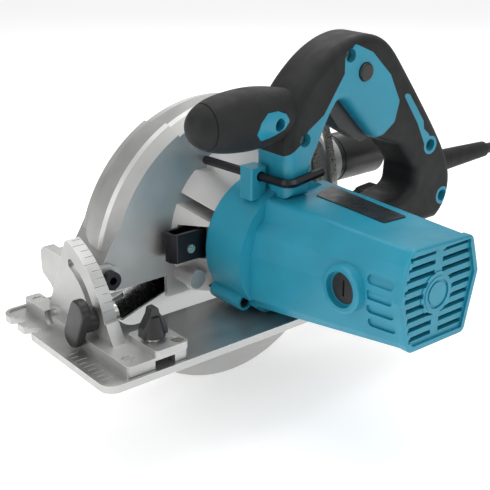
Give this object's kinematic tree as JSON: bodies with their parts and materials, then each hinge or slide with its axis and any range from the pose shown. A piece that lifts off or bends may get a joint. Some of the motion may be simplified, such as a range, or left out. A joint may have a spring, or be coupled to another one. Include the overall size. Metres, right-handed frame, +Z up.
{
  "type": "circular saw",
  "caption": "Corded hand-held circular saw with a slotted sole, bevel quadrant, depth arc, spring-closed blade guard, motor, looped rear handle with trigger, and a front grip.",
  "frame": {"origin": "centre of the sole's rectangle, on the face that rests on the work", "axes": "+X is the cutting direction, +Y points to the motor's end, +Z is up, away from the work"},
  "size_m": [0.565, 0.2355, 0.2546],
  "materials": {
    "die_cast_bright": "as-cast aluminium, lightly polished",
    "die_cast_painted": "cast aluminium, satin",
    "stamped_aluminium": "rolled sheet, satin",
    "teal_plastic": "fine moulded texture",
    "black_rubber": "soft moulded grip",
    "black_plastic": "moulded",
    "bright_steel": "machined or rolled steel",
    "zinc_steel": "zinc plated",
    "black_steel": "black oxide",
    "carbide": "ground carbide",
    "laminations": "stacked electrical steel",
    "copper_wire": "enamelled copper",
    "commutator_copper": "turned copper bars",
    "brass_tube": "drawn brass",
    "carbon": "pressed carbon",
    "label": "blank rating plate, printed black",
    "cord_rubber": "rubber sheath"
  },
  "bodies": {
    "base": {"base_plate": "stamped_aluminium", "front_bracket": "die_cast_bright", "rear_bracket": "zinc_steel", "bracket_rivets": "zinc_steel", "bevel_pivot_pins": "bright_steel"},
    "tilt_frame": {"tilt_hanger": "die_cast_bright", "bevel_clamp_bolt": "zinc_steel", "depth_pivot_pin": "black_steel", "bevel_stop_screw": "black_steel", "depth_guide": "zinc_steel"},
    "saw_head": {"blade_case": "die_cast_bright", "dust_nozzle": "black_plastic", "gear_housing": "die_cast_painted", "bearing_retainer": "zinc_steel", "guard_circlip": "black_steel", "guard_spring": "bright_steel", "guard_stop": "black_rubber", "ball_bearings": "bright_steel", "housing_screws": "black_steel", "motor_housing": "teal_plastic", "field_core": "laminations", "field_coils": "copper_wire", "fan_baffle": "black_plastic", "brush_holders": "brass_tube", "carbon_brushes": "carbon", "brush_caps": "black_plastic", "nameplate": "label", "handle_shell_left": "teal_plastic", "handle_shell_right": "teal_plastic", "soft_grip_left": "black_rubber", "soft_grip_right": "black_rubber", "handle_screws": "zinc_steel", "trigger_switch": "black_plastic", "depth_clamp_bolt": "zinc_steel", "strain_relief": "black_rubber", "power_cord": "cord_rubber", "cord_coil": "cord_rubber", "power_plug": "black_plastic"},
    "blade_and_spindle": {"saw_blade": "bright_steel", "carbide_tips": "carbide", "blade_flanges": "bright_steel", "blade_bolt": "black_steel", "spindle": "bright_steel", "spindle_gear": "bright_steel"},
    "armature": {"armature_shaft": "bright_steel", "armature_core": "laminations", "armature_windings": "copper_wire", "commutator": "commutator_copper", "cooling_fan": "black_plastic"},
    "retracting_guard": {"lower_guard": "stamped_aluminium", "guard_lever": "black_plastic"},
    "trigger": {"trigger": "black_plastic"},
    "lock_off_button": {"lock_off_button": "black_plastic"},
    "shaft_lock": {"shaft_lock": "black_steel", "shaft_lock_rivet": "zinc_steel"},
    "depth_lever": {"depth_lever": "black_plastic"},
    "bevel_wing": {"bevel_wing_knob": "black_plastic"},
    "fence_screw": {"fence_screw_stem": "zinc_steel", "fence_screw_wing": "black_plastic"},
    "hex_wrench": {"hex_wrench": "black_steel"}
  },
  "joints": [
    {"name": "bevel_tilt", "type": "hinge", "parent": "base", "child": "tilt_frame", "pos_m": [0, -0.03, 0.0095], "axis": [1, 0, 0], "range_deg": [0, 45]},
    {"name": "depth_swing", "type": "hinge", "parent": "tilt_frame", "child": "saw_head", "pos_m": [0.1, -0.03, 0.036], "axis": [0, 1, 0], "range_deg": [0, 30]},
    {"name": "blade_spin", "type": "hinge", "parent": "saw_head", "child": "blade_and_spindle", "pos_m": [-0.009, -0.03, 0.029], "axis": [0, 1, 0], "continuous": true},
    {"name": "armature_spin", "type": "hinge", "parent": "saw_head", "child": "armature", "pos_m": [-0.02, 0.07, 0.05089], "axis": [0, 1, 0], "continuous": true},
    {"name": "guard_retract", "type": "hinge", "parent": "saw_head", "child": "retracting_guard", "pos_m": [-0.009, -0.017, 0.029], "axis": [0, 1, 0], "range_deg": [0, 150], "stiffness_Nm_per_rad": 0.1, "springref_deg": -171.89},
    {"name": "trigger_pull", "type": "hinge", "parent": "saw_head", "child": "trigger", "pos_m": [-0.042, 0.043, 0.146], "axis": [0, 1, 0], "range_deg": [0, 9], "stiffness_Nm_per_rad": 0.6, "springref_deg": -11.46},
    {"name": "lock_off_press", "type": "slide", "parent": "saw_head", "child": "lock_off_button", "axis": [0, -1, 0], "range_m": [0, 0.003], "stiffness_N_per_m": 400, "springref_m": -0.003},
    {"name": "shaft_lock_press", "type": "slide", "parent": "saw_head", "child": "shaft_lock", "axis": [-1, 0, 0], "range_m": [0, 0.004], "stiffness_N_per_m": 500, "springref_m": -0.003},
    {"name": "depth_lever_turn", "type": "hinge", "parent": "saw_head", "child": "depth_lever", "pos_m": [-0.0948, 0, 0.04485], "axis": [0, 1, 0], "range_deg": [0, 35]},
    {"name": "bevel_wing_turn", "type": "hinge", "parent": "tilt_frame", "child": "bevel_wing", "pos_m": [0.13, 0.01495, 0.02324], "axis": [1, 0, 0], "range_deg": [0, 150]},
    {"name": "fence_screw_turn", "type": "hinge", "parent": "base", "child": "fence_screw", "pos_m": [0.105, 0.051, 0.02], "axis": [0, 0, 1], "range_deg": [0, 180]},
    {"name": "wrench_pull", "type": "slide", "parent": "saw_head", "child": "hex_wrench", "axis": [-0.1742, 0.9839, -0.039], "range_m": [0, 0.04]}
  ],
  "couplings": [
    {"joint": "armature_spin", "follows": "blade_spin", "ratio": -3.9}
  ]
}
